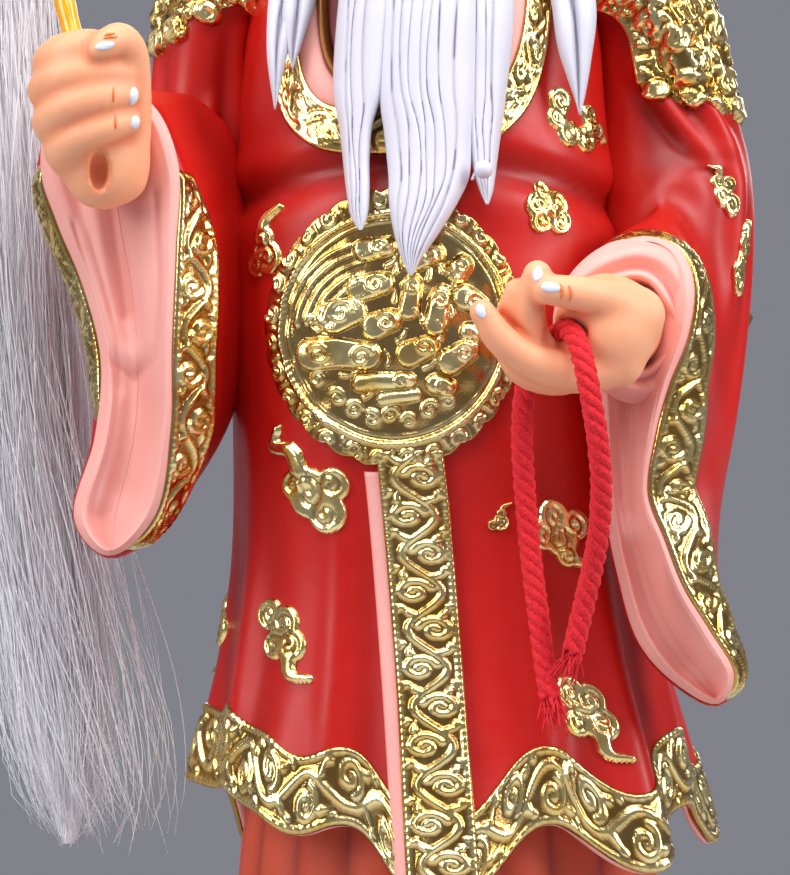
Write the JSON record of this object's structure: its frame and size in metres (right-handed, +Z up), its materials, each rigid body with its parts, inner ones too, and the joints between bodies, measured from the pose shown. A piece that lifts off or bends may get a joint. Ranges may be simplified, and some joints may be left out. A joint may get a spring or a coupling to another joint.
{
  "type": "resin matchmaker god statue",
  "caption": "Standing old man in a wide-sleeved red and gold robe on a low oval base, with a hair whisk in one hand and a hanging red cord in the other.",
  "frame": {"origin": "the middle of the flat underside of the base", "axes": "+Z up; the figure faces -Y; the hand with the cord is on the +X side and the whisk on the -X side"},
  "size_m": [0.2324, 0.1517, 0.3992],
  "materials": {
    "robe_red": "satin paint on cast resin",
    "gold_foil": "bright crinkled gold foil over raised relief",
    "lining_pink": "matt pink paint",
    "under_robe": "matt orange-red paint",
    "skin": "matt skin-coloured paint",
    "beard_white": "matt white paint with grey in the grooves",
    "boot_black": "satin black paint with a white sole",
    "base_lacquer": "dark red lacquer",
    "whisk_amber": "glossy amber resin",
    "whisk_hair": "fine straight white fibre",
    "cord_red": "soft twisted cotton"
  },
  "bodies": {
    "root": {"figure": "robe_red", "base": "base_lacquer", "whisk_handle": "whisk_amber", "whisk_hair": "whisk_hair", "red_cord": "cord_red"}
  },
  "joints": []
}
